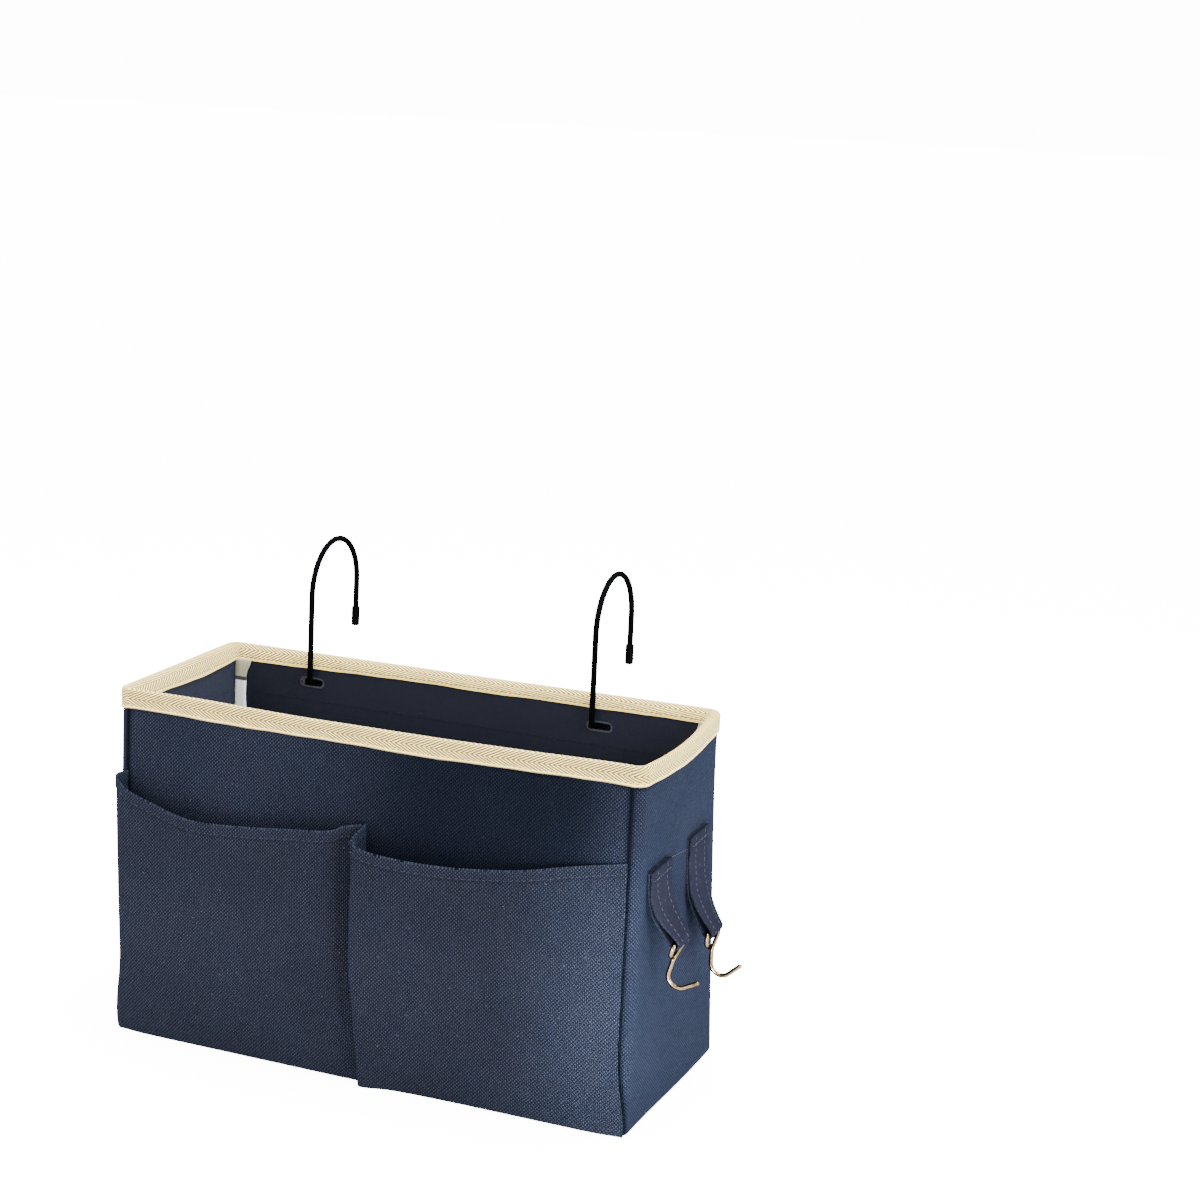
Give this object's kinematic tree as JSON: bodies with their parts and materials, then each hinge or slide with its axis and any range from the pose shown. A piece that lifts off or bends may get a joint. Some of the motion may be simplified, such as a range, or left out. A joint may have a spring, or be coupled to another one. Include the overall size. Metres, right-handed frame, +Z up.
{
  "type": "bedside caddy",
  "caption": "Stiffened navy canvas box with bellows pockets in front, a taped rim, wire hooks for a bed rail and small hooks in cloth loops at its side.",
  "frame": {"origin": "centre of the base's underside", "axes": "+X along the front towards the side with the loops, +Y towards the bed rail, +Z up"},
  "size_m": [0.2816, 0.1618, 0.2204],
  "materials": {
    "canvas_navy": "matt plain-weave canvas",
    "lining_navy": "matt woven lining",
    "stiffener_board": "plain grey board",
    "binding_cream": "herringbone cotton tape",
    "corner_tape": "soft plain tape",
    "hook_black": "glossy black coating",
    "cap_black": "satin rubber",
    "hook_pale": "polished pale plating"
  },
  "bodies": {
    "caddy": {"outer_front_panel": "canvas_navy", "outer_back_panel": "canvas_navy", "outer_left_panel": "canvas_navy", "outer_right_panel": "canvas_navy", "outer_base_panel": "canvas_navy", "front_board": "stiffener_board", "back_board": "stiffener_board", "left_board": "stiffener_board", "right_board": "stiffener_board", "base_board": "stiffener_board", "lining_front": "lining_navy", "lining_back": "lining_navy", "lining_left": "lining_navy", "lining_right": "lining_navy", "lining_base": "lining_navy", "rim_binding": "binding_cream", "corner_binding_back_left": "corner_tape", "corner_binding_back_right": "corner_tape", "corner_binding_front_left": "corner_tape", "corner_binding_front_right": "corner_tape", "left_pocket_panel": "canvas_navy", "right_pocket_panel": "canvas_navy"},
    "left_hook": {"left_rail_hook": "hook_black", "left_hook_cap": "cap_black"},
    "right_hook": {"right_rail_hook": "hook_black", "right_hook_cap": "cap_black"},
    "front_loop": {"front_strap_loop": "canvas_navy"},
    "front_small_hook": {"front_accessory_hook": "hook_pale"},
    "rear_loop": {"rear_strap_loop": "canvas_navy"},
    "rear_small_hook": {"rear_accessory_hook": "hook_pale"}
  },
  "joints": [
    {"name": "left_hook_swivel", "type": "hinge", "parent": "caddy", "child": "left_hook", "pos_m": [-0.08, 0.05, 0.151], "axis": [0, 0, 1], "range_deg": [-20, 20]},
    {"name": "right_hook_swivel", "type": "hinge", "parent": "caddy", "child": "right_hook", "pos_m": [0.0675, 0.05, 0.151], "axis": [0, 0, 1], "range_deg": [-20, 20]},
    {"name": "front_loop_lift", "type": "hinge", "parent": "caddy", "child": "front_loop", "pos_m": [0.1278, -0.029, 0.117], "axis": [0, -1, 0], "range_deg": [0, 70]},
    {"name": "front_hook_swing", "type": "hinge", "parent": "front_loop", "child": "front_small_hook", "pos_m": [0.1399, -0.029, 0.085], "axis": [0, -1, 0], "range_deg": [-14, 60]},
    {"name": "rear_loop_lift", "type": "hinge", "parent": "caddy", "child": "rear_loop", "pos_m": [0.1278, 0.023, 0.117], "axis": [0, -1, 0], "range_deg": [0, 70]},
    {"name": "rear_hook_swing", "type": "hinge", "parent": "rear_loop", "child": "rear_small_hook", "pos_m": [0.1387, 0.023, 0.072], "axis": [0, -1, 0], "range_deg": [-28, 75]}
  ]
}
